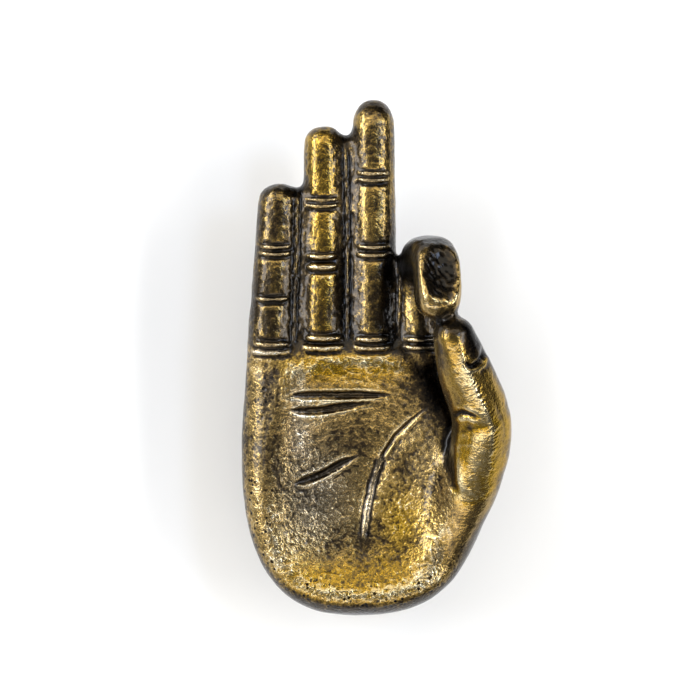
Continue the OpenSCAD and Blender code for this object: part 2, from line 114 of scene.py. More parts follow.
KNUCKLE_RIDGE = [
    (20.8, 12.6, 0.2), (22, 8, 0.7), (24, 2.5, 0.9), (26.6, -3, 1), (28.3, -6.8, 1), (28.2, -11, 0.6),
    (27.4, -16, 0.25), (26.4, -21, 0)]
# The lip along the ball of the thumb, with the pocket on its left
THUMB_LIP = [(20.3, -5.6, 0.2), (20.1, -10.5, 1), (20.5, -14.7, 1), (21.1, -18.6, 0.8), (21.9, -21.5, 0)]
LIP_SHAPE = [(0.3, 0.4, 1.0), (-1.9, -0.6, 1.0)]
# Where the ball of the thumb runs out into the palm and the heel
THUMB_ROOT = [
    (19.5, -7, 0.05), (18.2, -13, 0.4), (16.8, -21, 0.9), (16.5, -28, 1), (19, -34, 1), (24, -35, 0.7),
    (27, -29, 0.3)]

# Patches of the finish, of painted shade, painted highlights and painted reflections: middle, reach and power
# of the falloff, each across and up the hand
PATCHES = {
    "index dents": ((17.2, 25.6), (4.3, 7.9), (4, 4)),
    "index hollow": ((17.4, 27.2), (5.7, 9.2), (4, 4)),
    "index root highlight": ((10.5, 19), (3.5, 7), (2, 2)),
    "thumb top": ((22, 15), (4, 2.6), (2, 2)),
    "thumb corner": ((19.0, 14.2), (2.6, 2.6), (2, 2)),
    "shadow under the thumb": ((16.5, 1), (3.5, 6), (2, 2)),
    "thumb foot highlight": ((15.5, -31), (4.5, 7), (2, 2)),
    "palm dimples": ((8, -25), (6, 9), (2, 2)),
    "palm grey reflection": ((-9.6, -20), (7, 12), (2, 2)),
    "palm gold reflection": ((9, -27), (6, 8), (2, 2)),
    "gold reflection under the fingers": ((-4, 6), (13, 4), (4, 2)),
    "gold reflection on the heel": ((-2, -39), (14, 5), (4, 2)),
}
# Darker patches in the palm: middle and reach
PALM_DARK_PATCHES = [(9.5, -16, 4.5), (-15.5, -20, 5.0), (-2, -11, 6.0), (-1, -34, 6.0), (14, 3, 4.0)]
# Rim of the palm, where the large casting pores lie
RIM = [(-20.5, 4), (-21, -8), (-20.2, -22), (-17, -33), (-11, -39), (-3, -42), (6, -42), (14, -37)]

# Between these depths the thumb and the curled finger end, and the palm and the upright fingers begin
LOOP_BACK = (-29.0, -27.6)
# Heights between which the fingers begin and the thumb ends
FINGER_FOOT = (9, 11)
THUMB_END = (17.2, 15.5)
# The palm's dish: middle height, half width, and reach up to the fingers and down to the heel
DISH_MID, DISH_HALF, DISH_UP, DISH_DOWN = -24.2, 20.4, 33.5, 19.4
# Room round the stand-off's seat in which the skin keeps to the solid: radius and depth
SEAT_RADIUS, SEAT_DEPTH = 11.5, -14.5


def tint(code):
    """Linear colour of an sRGB hex value."""
    parts = [int(code[i:i + 2], 16) / 255 for i in (1, 3, 5)]
    return tuple(c / 12.92 if c <= 0.04045 else ((c + 0.055) / 1.055) ** 2.4 for c in parts) + (1.0,)


def add(tree, kind, inputs=None, **settings):
    """Adds a node. Settings are its properties, inputs are values or the sockets that feed it."""
    made = tree.nodes.new(kind)
    for name, value in settings.items():
        setattr(made, name, value)
    for name, value in (inputs or {}).items():
        if isinstance(value, bpy.types.NodeSocket):
            tree.links.new(value, made.inputs[name])
        else:
            made.inputs[name].default_value = value
    return made


def fresh(name):
    """A new material of that name, with an empty tree."""
    made = bpy.data.materials.new(name)
    made.use_nodes = True
    made.node_tree.nodes.clear()
    return made, made.node_tree


def step(low, high, x):
    """Smooth rise from 0 at low to 1 at high."""
    t = np.clip((x - low) / (high - low), 0, 1)
    return t * t * (3 - 2 * t)


def seen(co):
    """Where the eye sees each point, in millimetres on the plane of the marks."""
    k = (EYE - PLANE) / (EYE + co[:, 1])
    return AIM[0] + (co[:, 0] - AIM[0]) * k, AIM[1] + (co[:, 2] - AIM[1]) * k


def route_field(u, v, route):
    """Signed distance to a route, above it being positive, and the route's weight at the nearest point."""
    best = np.full(len(u), 1e9)
    side = np.zeros(len(u))
    weight = np.zeros(len(u))
    for (u0, v0, w0), (u1, v1, w1) in zip(route, route[1:]):
        du, dv = u1 - u0, v1 - v0
        span = du * du + dv * dv
        t = np.clip(((u - u0) * du + (v - v0) * dv) / span, 0, 1)
        pu, pv = u - u0 - t * du, v - v0 - t * dv
        d = np.hypot(pu, pv)
        closer = d < best
        best[closer] = d[closer]
        side[closer] = (np.sign(du * pv - dv * pu) * d)[closer]
        weight[closer] = (w0 + (w1 - w0) * t)[closer]
    return side, weight


def dish_share(u, v):
    """0 in the middle of the palm's dish and 1 on its edge, square at the fingers and round at the heel."""
    across, up = np.abs(u / DISH_HALF), v - DISH_MID
    upper = across ** 3 + np.abs(up / DISH_UP) ** 8
    lower = across ** 2.4 + np.abs(up / DISH_DOWN) ** 2.4
    return np.where(up > 0, upper, lower)


def near(distance, reach, power=2):
    """1 where the distance is 0, falling to 0 past the reach. A power of 4 gives a flatter top than 2."""
    return np.exp(-(distance / reach) ** power)


def patch(u, v, name):
    """1 in the middle of a patch of the finish, falling to 0 past its reach."""
    (mid_u, mid_v), (reach_u, reach_v), (power_u, power_v) = PATCHES[name]
    return near(u - mid_u, reach_u, power_u) * near(v - mid_v, reach_v, power_v)


def behind_loop(co):
    """1 on the palm and the upright fingers, 0 on the thumb and the curled finger in front of them."""
    return step(*LOOP_BACK, co[:, 1])


def stroke(u, v, route, shape):
    """Height that a mark adds along a route. A shape lists bumps: offset to the side, height, half width.

    The bumps run together where the route's weight falls, so that a mark ends in a point.
    """
    side, weight = route_field(u, v, route)
    pinch = np.minimum(1, 1.2 * weight)
    return weight * sum(height * near(side - offset * pinch, width) for offset, height, width in shape)


def bow(left, right, height, strength):
    """Route of a fold across a finger, pointed at both ends and sagging a little in the middle."""
    route = []
    for t in (0, 0.1, 0.25, 0.5, 0.75, 0.9, 1):
        swell = math.sin(math.pi * t)
        route.append((left + (right - left) * t, height - 0.35 * swell, strength * swell ** 0.45))
    return route


def lumps(co, size):
    """Smooth noise from -1 to 1 with lumps of that size."""
    return np.array([noise.noise(Vector(p)) for p in co / size])


def crests(co, size):
    """Sharp crests from -1 to 1 that wind between smooth hollows of that size."""
    return 1 - 2.4 * np.abs(lumps(co, size))


def dents(co, size):
    """Hammer dents of that size: 0 at the bottom of a dent, about 1 on the edges between dents."""
    return np.array([noise.voronoi(Vector(p))[0][0] for p in co / size]) / 0.6


def links_of(mesh):
    """Pairs of points that an edge joins."""
    pairs = np.empty(len(mesh.edges) * 2, np.int32)
    mesh.edges.foreach_get("vertices", pairs)
    return pairs.reshape(-1, 2)


def neighbours(pairs, total):
    """How many neighbours each point has."""
    return np.maximum(np.bincount(pairs.ravel(), minlength=total), 1)[:, None]


def neighbour_mean(values, pairs, count):
    """Mean over each point's neighbours, for every column of values."""
    a, b = pairs.T
    total = len(values)
    sums = [np.bincount(a, column[b], total) + np.bincount(b, column[a], total) for column in values.T]
    return np.stack(sums, 1) / count


def relax(co, pairs, rounds, share=1.0, keep_size=True):
    """Evens out the skin. Each round pulls every point to its neighbours and pushes it back a little."""
    count = neighbours(pairs, len(co))
    share = np.broadcast_to(np.asarray(share, float).reshape(-1, 1), (len(co), 1))
    for _ in range(rounds):
        for pull in (0.6, -0.62) if keep_size else (0.5,):
            co = co + pull * share * (neighbour_mean(co, pairs, count) - co)
    return co


def read_points(mesh):
    """Places of the points in millimetres, and their normals."""
    co = np.empty(len(mesh.vertices) * 3)
    mesh.vertices.foreach_get("co", co)
    normal = np.empty(len(mesh.vertices) * 3, np.float32)
    mesh.vertex_normals.foreach_get("vector", normal)
    return co.reshape(-1, 3) * MM, normal.reshape(-1, 3).astype(float)


def write_points(mesh, co):
    """Moves the points to places in millimetres."""
    mesh.vertices.foreach_set("co", (co / MM).ravel())
    mesh.update()


def new_piece(name, mesh, material):
    """Puts a finished mesh in the scene as a piece that rides on the body."""
    piece = bpy.data.objects.new(name, mesh)
    bpy.context.scene.collection.objects.link(piece)
    mesh.materials.clear()
    mesh.materials.append(material)
    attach(piece, "root")
    return piece


class CastingSettings(bpy.types.PropertyGroup):
    """Sizes and colours of the casting."""

    skin_step: bpy.props.FloatProperty(
        name="Skin step", description="Spacing of the points on the casting's skin", default=0.00064,
        unit="LENGTH")
    palm_grain: bpy.props.FloatProperty(
        name="Palm grain", description="Height of the crests in the palm", default=0.00013, unit="LENGTH")
    finger_grain: bpy.props.FloatProperty(
        name="Finger grain", description="Height of the grain on the fingers", default=0.00008,
        unit="LENGTH")
    pits: bpy.props.IntProperty(
        name="Pores", description="Number of large casting pores on the rim and the heel", default=32)
    patina: bpy.props.FloatVectorProperty(
        name="Patina", description="Colour left in the recesses", default=tint("#0e0905")[:3],
        subtype="COLOR")
    umber: bpy.props.FloatVectorProperty(
        name="Umber", description="Colour of half worn patina", default=tint("#403321")[:3],
        subtype="COLOR")
    brass: bpy.props.FloatVectorProperty(
        name="Brass", description="Colour of worn brass", default=tint("#b18e48")[:3], subtype="COLOR")
    bright: bpy.props.FloatVectorProperty(
        name="Bright brass", description="Colour of rubbed edges", default=tint("#e9dab6")[:3], subtype="COLOR")


class FixingSettings(bpy.types.PropertyGroup):
    """Sizes and colours of the fixing."""

    thread_pitch: bpy.props.FloatProperty(
        name="Thread pitch", description="Pitch of the bolt's machine thread", default=0.001, unit="LENGTH")
    wood_pitch: bpy.props.FloatProperty(
        name="Wood thread pitch", description="Pitch of the bolt's wood thread", default=0.0026,
        unit="LENGTH")
    turned: bpy.props.FloatVectorProperty(
        name="Turned brass", description="Colour of the stand-off", default=tint("#b08a48")[:3],
        subtype="COLOR")
    zinc: bpy.props.FloatVectorProperty(
        name="Zinc", description="Colour of the plated steel", default=tint("#b4b6b8")[:3], subtype="COLOR")
    spring: bpy.props.FloatVectorProperty(
        name="Spring steel", description="Colour of the washer", default=tint("#77797c")[:3], subtype="COLOR")
    nylon: bpy.props.FloatVectorProperty(
        name="Nylon", description="Colour of the wall plug", default=tint("#8b8e8b")[:3], subtype="COLOR")


class StageSettings(bpy.types.PropertyGroup):
    """Wall, lamps and camera."""

    key_power: bpy.props.FloatProperty(
        name="Key", description="Power of the tall lamp on the little finger's side", default=6.4, unit="POWER")
    strip_power: bpy.props.FloatProperty(
        name="Strip", description="Power of the narrow lamp on the thumb's side", default=2.3, unit="POWER")
    top_power: bpy.props.FloatProperty(
        name="Top", description="Power of the lamp above", default=1.3, unit="POWER")
    tray_power: bpy.props.FloatProperty(
        name="Tray", description="Power of the wide lamp below", default=1.4, unit="POWER")
    card_power: bpy.props.FloatProperty(
        name="Card", description="Power of the narrow lamp in front of the little finger", default=0.3,
        unit="POWER")
    window_power: bpy.props.FloatProperty(
        name="Window", description="Power of the cool lamp up on the right", default=1.0, unit="POWER")
    bounce_power: bpy.props.FloatProperty(
        name="Bounce", description="Power of the broad light that throws the shadow on the wall", default=9.6,
        unit="POWER")
    room: bpy.props.FloatProperty(
        name="Room", description="Brightness of the room round the wall", default=0.22, min=0.0)


class BRASS_HAND_OT_casting(bpy.types.Operator):
    """Sculpts the cast hand: skin, folds, lines, nail, pores, grain and worn patina"""

    bl_idname = "brass_hand.casting"
    bl_label = "Cast hand"

    def execute(self, context):
        settings = context.scene.brass_hand_casting
        mesh = self.skin(settings.skin_step)
        self.refine_front(mesh)
        self.sculpt(mesh, settings)
        self.wear(mesh)
        for polygon in mesh.polygons:
            polygon.use_smooth = True
        piece = new_piece("cast_hand", mesh, self.material(settings))
        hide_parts("hand_casting")
        return {"FINISHED"}

    def skin(self, spacing):
        """Even skin over a copy of the solid, with the facets smoothed out of it."""
        form = bmesh.new()
        form.from_mesh(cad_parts["hand_casting"].data)
        bmesh.ops.remove_doubles(form, verts=form.verts, dist=1e-6)
        self.solid = BVHTree.FromBMesh(form)
        rough = bpy.data.meshes.new("cast_hand_rough")
        form.to_mesh(rough)
        form.free()
        holder = bpy.data.objects.new("cast_hand_rough", rough)
        bpy.context.scene.collection.objects.link(holder)
        remesh = holder.modifiers.new("skin", "REMESH")
        remesh.mode = "VOXEL"
        remesh.voxel_size = spacing
        remesh.adaptivity = 0.0
        deps = bpy.context.evaluated_depsgraph_get()
        mesh = bpy.data.meshes.new_from_object(holder.evaluated_get(deps))
        mesh.name = "cast_hand"
        bpy.data.objects.remove(holder)
        bpy.data.meshes.remove(rough)
        co, _ = read_points(mesh)
        pairs = links_of(mesh)
        palm = step(11.5, 5.0, co[:, 2])
        co = relax(co, pairs, 10)
        co = relax(co, pairs, 30, palm)
        co = relax(co, pairs, 3, keep_size=False)
        side, weight = route_field(*seen(co), THUMB_ROOT)
        co = relax(co, pairs, 110, weight * near(side, 3.4), keep_size=False)
        for route in FLASH:
            side, _ = route_field(*seen(co), route)
            valley = near(side, 2.6, 4) * behind_loop(co) * step(-16.0, -18.0, co[:, 1])
            co = relax(co, pairs, 45, valley, keep_size=False)
        write_points(mesh, self.keep_seat(co))
        self.measure_openness(mesh, pairs)
        return mesh

    def measure_openness(self, mesh, pairs):
        """Stores the share of the sky that each point sees, from 0 in a crevice to 1 in the open."""
        ray_count, golden_angle, lift_off, reach = 20, 2.39996, 0.0004, 0.03
        co, normal = read_points(mesh)
        count = neighbours(pairs, len(co))
        tree = BVHTree.FromPolygons((co / MM).tolist(), [list(face.vertices) for face in mesh.polygons])
        share = (np.arange(ray_count) + 0.5) / ray_count
        turn = np.arange(ray_count) * golden_angle
        flat, rise = np.sqrt(share), np.sqrt(1 - share)
        rays = [Vector(ray) for ray in np.stack([flat * np.cos(turn), flat * np.sin(turn), rise], 1)]
        free = np.zeros((len(co), 1))
        for i, axis in enumerate(normal):
            axis = Vector(axis)
            start = Vector(co[i] / MM) + lift_off * axis
            aim = axis.to_track_quat("Z", "Y").to_matrix()
            free[i] = sum(tree.ray_cast(start, aim @ ray, reach)[0] is None for ray in rays) / ray_count
        for _ in range(3):
            free = 0.5 * free + 0.5 * neighbour_mean(free, pairs, count)
        layer = mesh.attributes.new("open", "FLOAT", "POINT")
        layer.data.foreach_set("value", free.ravel().astype(np.float32))

    def keep_seat(self, co):
        """Puts the points round the stand-off's seat back on the solid."""
        close = (np.hypot(co[:, 0], co[:, 2]) < SEAT_RADIUS) & (co[:, 1] > SEAT_DEPTH)
        for i in np.flatnonzero(close):
            spot = self.solid.find_nearest(Vector(co[i] / MM))[0]
            co[i] = np.array(spot) * MM
        return co

    def refine_front(self, mesh):
        """Splits the faces that the eye sees, where the fine marks go."""
        grazing, slack = 0.12, 0.0006
        form = bmesh.new()
        form.from_mesh(mesh)
        tree = BVHTree.FromBMesh(form)
        form.faces.ensure_lookup_table()
        eye = Vector((AIM[0], -EYE, AIM[1])) / MM
        chosen = set()
        for face in form.faces:
            spot = face.calc_center_median()
            ray = spot - eye
            if face.normal.dot(ray) < -grazing * ray.length:
                hit = tree.ray_cast(eye, ray.normalized())
                if hit[3] and hit[3] > ray.length - slack:
                    chosen.update(face.edges)
        edges = [edge for edge in form.edges if edge in chosen]
        bmesh.ops.subdivide_edges(form, edges=edges, cuts=1, use_grid_fill=True)
        form.to_mesh(mesh)
        form.free()
        co, _ = read_points(mesh)
        write_points(mesh, self.keep_seat(relax(co, links_of(mesh), 3, keep_size=False)))

    def sculpt(self, mesh, settings):
        """Moves the points of the skin for every mark that the wax and the mould left."""
        co, normal = read_points(mesh)
        pairs = links_of(mesh)
        u, v = seen(co)
        facing = step(0.05, 0.5, -normal[:, 1])
        behind = behind_loop(co)
        ahead = 1 - behind
        low, high = (np.array(corner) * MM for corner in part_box("hand_casting"))

        lift = np.zeros(len(co))
        wrap = step(-0.35, 0.1, -normal[:, 1]) * behind
        for fold in FOLDS:
            broad = 1.3 if fold[3] > 1.05 else 1.0
            shape = [(broad * offset, height, broad * width) for offset, height, width in FOLD_SHAPE]
            lift += wrap * stroke(u, v, bow(*fold), shape)
        palm_face = facing * behind
        for route, shape in PALM_LINES:
            lift += palm_face * stroke(u, v, route, shape)

        thumb = ahead * step(-0.1, 0.2, -normal[:, 1]) * step(*THUMB_END, v)
        for route, shape in THUMB_MARKS:
            lift += thumb * stroke(u, v, route, shape)
        lift += facing * stroke(u, v, THUMB_LIP, LIP_SHAPE)
        # The knuckle's ridge falls off to both sides and is hatched along its top, 0.8 mm from line to line
        side, weight = route_field(u, v, KNUCKLE_RIDGE)
        flank = thumb * weight * step(0.0, 0.9, -normal[:, 1])
        lift += flank * np.maximum(0.35 - 0.26 * np.abs(side), np.where(side < 0, -0.95, -0.4))
        along = 0.35 * u - 0.94 * v + 0.9 * lumps(co, 2.5)
        lift += flank * 0.05 * np.sin(along * 2 * math.pi / 0.8) * near(side - 0.5, 1.3)
        co = co + lift[:, None] * normal

        ragged = np.clip(0.75 + 1.1 * lumps(co, 1.3), 0.1, 1.3)
        flash = ragged * sum(stroke(u, v, route, FLASH_SHAPE) for route in FLASH)
        co[:, 1] -= flash * behind * step(-0.2, 0.3, -normal[:, 1])
        write_points(mesh, co)

        co, normal = read_points(mesh)
        hollow = dish_share(u, v)
        in_palm = step(1.0, 0.75, hollow) * palm_face
        on_finger = step(*FINGER_FOOT, v) * behind
        smooth = 1 - 0.75 * step(0.9, 1.05, hollow) * step(6, 2, v)
        grain = 0.1 * lumps(co, 4.5) + smooth * (0.03 * lumps(co, 1.4) + 0.015 * lumps(co, 0.7))
        crest = crests(co, 1.5)
        grit = crests(co + 17.0, 0.9)
        speck = lumps(co + 31.0, 0.5)
        palm_h, finger_h = settings.palm_grain * MM, settings.finger_grain * MM
        grain += in_palm * palm_h * (0.25 * crest + 0.3 * grit + 0.35 * speck)
        grain += on_finger * finger_h * (0.5 * grit + 0.4 * speck + 0.3 * crest)
        slant = np.stack([co[:, 0] + 0.5 * co[:, 2], co[:, 1], 0.45 * co[:, 2] - 0.3 * co[:, 0]], 1)
        grain += ahead * patch(u, v, "index dents") * facing * (0.2 * (dents(slant, 1.2) - 0.6) - 0.18)
        grain -= self.pores(u, v, settings.pits) * facing * behind
        co = co + grain[:, None] * normal
        co = relax(co, pairs, 1, 0.3, keep_size=False)
        write_points(mesh, np.clip(self.keep_seat(co), low, high))

    def pores(self, u, v, number):
        """Depth of round casting pores, scattered along the rim and the heel."""
        rng = np.random.default_rng(7)
        rim = np.array(RIM)
        depth = np.zeros(len(u))
        for _ in range(number):
            at = rng.random() * (len(rim) - 1.001)
            i = int(at)
            mid = rim[i] + (rim[i + 1] - rim[i]) * (at - i) + rng.normal(0, 2.2, 2)
            size = rng.uniform(0.14, 0.28)
            close = np.abs(u - mid[0]) + np.abs(v - mid[1]) < 2.0
            distance = np.hypot(u[close] - mid[0], v[close] - mid[1])
            depth[close] = np.maximum(depth[close], 0.9 * size * near(distance, size))
        return depth

    def wear(self, mesh):
        """Stores four fields that the finish follows: the rubbed patina with its painted shade and painted
        highlights, the pores, the calm, and the gold with its painted reflections.
        """
        at = self.places(mesh)
        for field in (self.rub_and_painted_light, self.porous, self.calm, self.gold):
            layer = mesh.attributes.new(field.__name__, "FLOAT", "POINT")
            layer.data.foreach_set("value", field(at).ravel().astype(np.float32))

    def places(self, mesh):
        """Points of the skin, and from 0 to 1 how far each belongs to a place on the hand."""
        co, normal = read_points(mesh)
        pairs = links_of(mesh)
        free = np.empty(len(co), np.float32)
        mesh.attributes["open"].data.foreach_get("value", free)
        mesh.attributes.remove(mesh.attributes["open"])
        u, v = seen(co)
        toward_eye = -normal[:, 1]
        behind = behind_loop(co)
        ahead = 1 - behind
        facing = step(0.2, 0.9, toward_eye)
        hollow = dish_share(u, v)
        lines = []
        for route, _ in PALM_LINES:
            side, weight = route_field(u, v, route)
            lines.append(weight * near(side, 1.0, 4) * behind)
        # Heights of the dish's wall on the little finger's side, which painted shade darkens, and of the
        # painted grey reflection beside it
        tall = step(8, 4, v) * step(-24, -16, v) * behind * facing
        return SimpleNamespace(
            co=co, normal=normal, pairs=pairs, count=neighbours(pairs, len(co)), free=free, u=u, v=v,
            toward_eye=toward_eye, behind=behind, ahead=ahead, facing=facing,
            front=step(-0.1, 0.5, toward_eye), hollow=hollow,
            palm=step(1.1, 0.8, hollow) * behind * facing,
            on_finger=step(*FINGER_FOOT, v) * behind,
            thumb=ahead * step(*THUMB_END, v),
            line=np.maximum.reduce(lines), life=lines[-1],
            wall=tall * near(u + 18.9, 2.2, 4),
            grey_reflection_streak=tall * near(u + 13.0, 2.2) * step(-16, -10, v),
            thumb_foot_highlight=patch(u, v, "thumb foot highlight") * behind)

    def rub_and_painted_light(self, at):
        """How far the patina is rubbed away, with painted shade and painted highlights in the same field: what
        hands reach is bright and crevices stay dark.
        """
        u, v, normal, behind, facing = at.u, at.v, at.normal, at.behind, at.facing
        # Skin that sees little sky keeps its patina; skin that faces the eye is brighter and the sides that
        # turn away are darker, partly as wear and partly as painted shade
        rub_and_painted_light = -0.26 + 0.44 * step(0.4, 0.95, at.free) + 0.28 * facing
        # In front the fingers darken at the fold under them, on the sides and the back little by little
        shade = at.front * at.on_finger + 0.6 * (1 - at.front) * step(0, 26, v) * behind
        rub_and_painted_light -= shade * (0.124 + 0.06 * step(30, 22, v) + 0.11 * step(-13, -15, u))
        rub_and_painted_light -= 0.06 * at.line + 0.08 * at.life
        # What stands proud of its surroundings is rubbed, in fine and in coarse forms
        mean, done = at.co, 0
        for rounds, height, weight in ((4, 0.06, 0.2), (30, 0.3, 0.22)):
            while done < rounds:
                mean = neighbour_mean(mean, at.pairs, at.count)
                done += 1
            proud = ((at.co - mean) * normal).sum(1) / height
            rub_and_painted_light += weight * np.clip(proud, -1.6 + 1.2 * at.line, 1.0)
        # Palm and heel, with painted shade and painted highlights among the patina
        rub_and_painted_light += at.palm * (0.07 + 0.08 * step(0.3, 0.9, at.hollow))
        for mid_u, mid_v, reach in PALM_DARK_PATCHES:
            rub_and_painted_light -= 0.13 * at.palm * near(np.hypot(u - mid_u, v - mid_v), reach)
        # Painted shade: faces that turn down at the heel are darkened
        rub_and_painted_light -= 0.22 * step(0.2, 0.65, -normal[:, 2]) * step(-22, -36, v)
        # Painted shadow: the palm under the thumb is darkened
        rub_and_painted_light -= 0.35 * patch(u, v, "shadow under the thumb") * behind
        # Painted shade on the dish's wall, a painted pale reflection along the streak beside it, and the left
        # edge a little darker
        rub_and_painted_light += 0.07 * at.grey_reflection_streak - 0.25 * at.wall - 0.02 * step(-19, -21, u) * step(8, 4, v)
        # Painted highlight on the slope at the foot of the thumb
        rub_and_painted_light += 0.03 * at.thumb_foot_highlight
        # Fingers: a painted highlight at the root of the index finger, painted shade on the tops of the tips, a
        # painted reflection on the sides, the tip of the middle finger darker and the webs between them darker
        rub_and_painted_light += 0.33 * patch(u, v, "index root highlight") * behind * facing
        # Painted shade: the upward-facing tops of the fingertips are darkened
        rub_and_painted_light -= 0.24 * step(30, 36, v) * step(0.1, 0.6, normal[:, 2])
        # Painted reflection: the open sides of the fingers that turn from the eye are lightened
        rub_and_painted_light += 0.2 * at.on_finger * step(-0.1, 0.3, at.toward_eye) * (1 - facing) * step(0.35, 0.7, at.free)
        rub_and_painted_light -= 0.07 * at.on_finger * step(-2, 0, u) * step(47, 52, v)
        for route in FLASH:
            side, weight = route_field(u, v, route)
            rub_and_painted_light -= 0.14 * weight * near(side, 0.6) * behind
        # Thumb, with its nail lying aslant
        thumb = at.thumb
        # Painted light on the thumb: its front and its lower part lightened as a painted highlight, its
        # right-facing side darkened as painted shade
        rub_and_painted_light += thumb * (0.1 * facing - 0.06 * step(0.25, 0.65, normal[:, 0]) + 0.05 * step(-4, -10, v))
        nail_u, nail_v, lean_cos, lean_sin = u - 24.7, v - 11.6, 0.94, 0.34
        across, along = lean_cos * nail_u + lean_sin * nail_v, lean_cos * nail_v - lean_sin * nail_u
        rub_and_painted_light -= 0.4 * thumb * near(across, 2.4, 4) * near(along, 4.8, 4)
        rub_and_painted_light -= thumb * (0.3 * patch(u, v, "thumb top") + 0.32 * patch(u, v, "thumb corner"))
        rub_and_painted_light -= 0.1 * thumb * step(3, 8, v)
        # Curled tip of the index finger
        rub_and_painted_light -= at.ahead * (0.05 * step(16.5, 18.5, v) + 0.16 * step(20, 27, v))
        rub_and_painted_light -= 0.13 * at.ahead * patch(u, v, "index hollow") * facing
        return neighbour_mean(np.clip(rub_and_painted_light, 0, 1)[:, None], at.pairs, at.count)

    def porous(self, at):
        """How thick the fine pores lie: on the rim of the palm, most of all at the heel."""
        share = step(0.45, 0.9, at.hollow) * (0.6 + 0.25 * step(-14, -26, at.v))
        return share * step(6, 3, at.v) * step(20, 14, at.u) * at.behind * step(0.2, 0.6, at.toward_eye)

    def calm(self, at):
        """How even the tone and the grain are: most on the thumb and fingers, least in the palm's dimples."""
        rim = step(0.9, 1.05, at.hollow) * step(6, 2, at.v)
        thumb_side = step(20.5, 23.5, at.u) * step(0, -6, at.v)
        calm = at.ahead + thumb_side + 0.4 * rim + 0.85 * at.front * at.on_finger
        calm = np.clip(calm + 0.5 * at.thumb_foot_highlight + at.line + 0.52 * at.palm, 0, 1)
        return calm - 0.8 * at.palm * patch(at.u, at.v, "palm dimples")

    def gold(self, at):
        """How yellow the brass shows, from -1 for grey to 1 for gold.

        It is gold on the ring finger and the thumb; under the fingers, on the heel and low in the palm the gold
        is a painted warm reflection, grey in the palm and along the streak is a painted cool reflection, and
        the pale fold tops are painted highlights.
        """
        u, v, behind = at.u, at.v, at.behind
        # Painted warm reflections: gold under the fingers, on the heel and low in the palm
        gold = 0.22 + patch(u, v, "gold reflection under the fingers") + patch(u, v, "gold reflection on the heel")
        gold += 0.7 * patch(u, v, "palm gold reflection") + at.thumb * (0.4 + 0.6 * step(0, -10, v))
        gold += at.on_finger * (0.2 + 0.3 * (1 - at.facing) * at.front + 0.35 * near(u + 8.3, 3.5))
        # Painted highlights: the tops of the folds are paled
        for fold in FOLDS:
            side, weight = route_field(u, v, bow(*fold))
            gold -= 1.1 * weight * near(side, 0.5) * behind
        # Painted cool reflection: grey in the palm and along the streak beside the dish's wall; grey along the
        # life line
        gold -= at.palm * patch(u, v, "palm grey reflection") + 0.8 * at.grey_reflection_streak + 0.9 * at.life
        return np.clip(gold, -1, 1)

    def material(self, settings):
        """Antique brass, cast by lost wax in a fine mould, darkened with a brown patina, rubbed back and waxed.

        The eye gets warm gold on everything that stands proud, nearly black recesses, a mottled change between
        the two, and a gloss from the wax that the grain of the mould breaks up. Part of the light and dark in
        the colour is painted: painted shade and painted highlights in the rub field, painted reflections in the
        gold field.
        """
        made, tree = fresh("cast_antique_brass")
        place = add(tree, "ShaderNodeTexCoord").outputs["Object"]
        rub_and_painted_light = add(tree, "ShaderNodeAttribute", attribute_name="rub_and_painted_light").outputs["Fac"]
        porous = add(tree, "ShaderNodeAttribute", attribute_name="porous").outputs["Fac"]
        # Grain of 1.1 mm, specks of 0.45 mm and patches of 7 mm
        grain = add(tree, "ShaderNodeTexNoise", {
            "Vector": place, "Scale": 1 / 0.0011, "Detail": 2.0}).outputs["Fac"]
        speck = add(tree, "ShaderNodeTexNoise", {
            "Vector": place, "Scale": 1 / 0.00045, "Detail": 2.0}).outputs["Fac"]
        cloud = add(tree, "ShaderNodeTexNoise", {
            "Vector": place, "Scale": 1 / 0.007, "Detail": 3.0}).outputs["Fac"]
        lively = add(tree, "ShaderNodeMapRange", {
            "Value": add(tree, "ShaderNodeAttribute", attribute_name="calm").outputs["Fac"],
            "From Min": -1.0, "To Min": 1.4, "To Max": 0.3}).outputs[0]
        # Each noise averages a half, so that the mottling averages 0
        shares = ((grain, 0.8), (speck, 0.8), (cloud, 0.7))
        mottle = -0.5 * sum(share for _, share in shares)
        for source, share in shares:
            mottle = add(tree, "ShaderNodeMath", {
                0: source, 1: share, 2: mottle}, operation="MULTIPLY_ADD").outputs[0]
        worn = add(tree, "ShaderNodeMath", {
            0: mottle, 1: lively, 2: rub_and_painted_light}, operation="MULTIPLY_ADD").outputs[0]
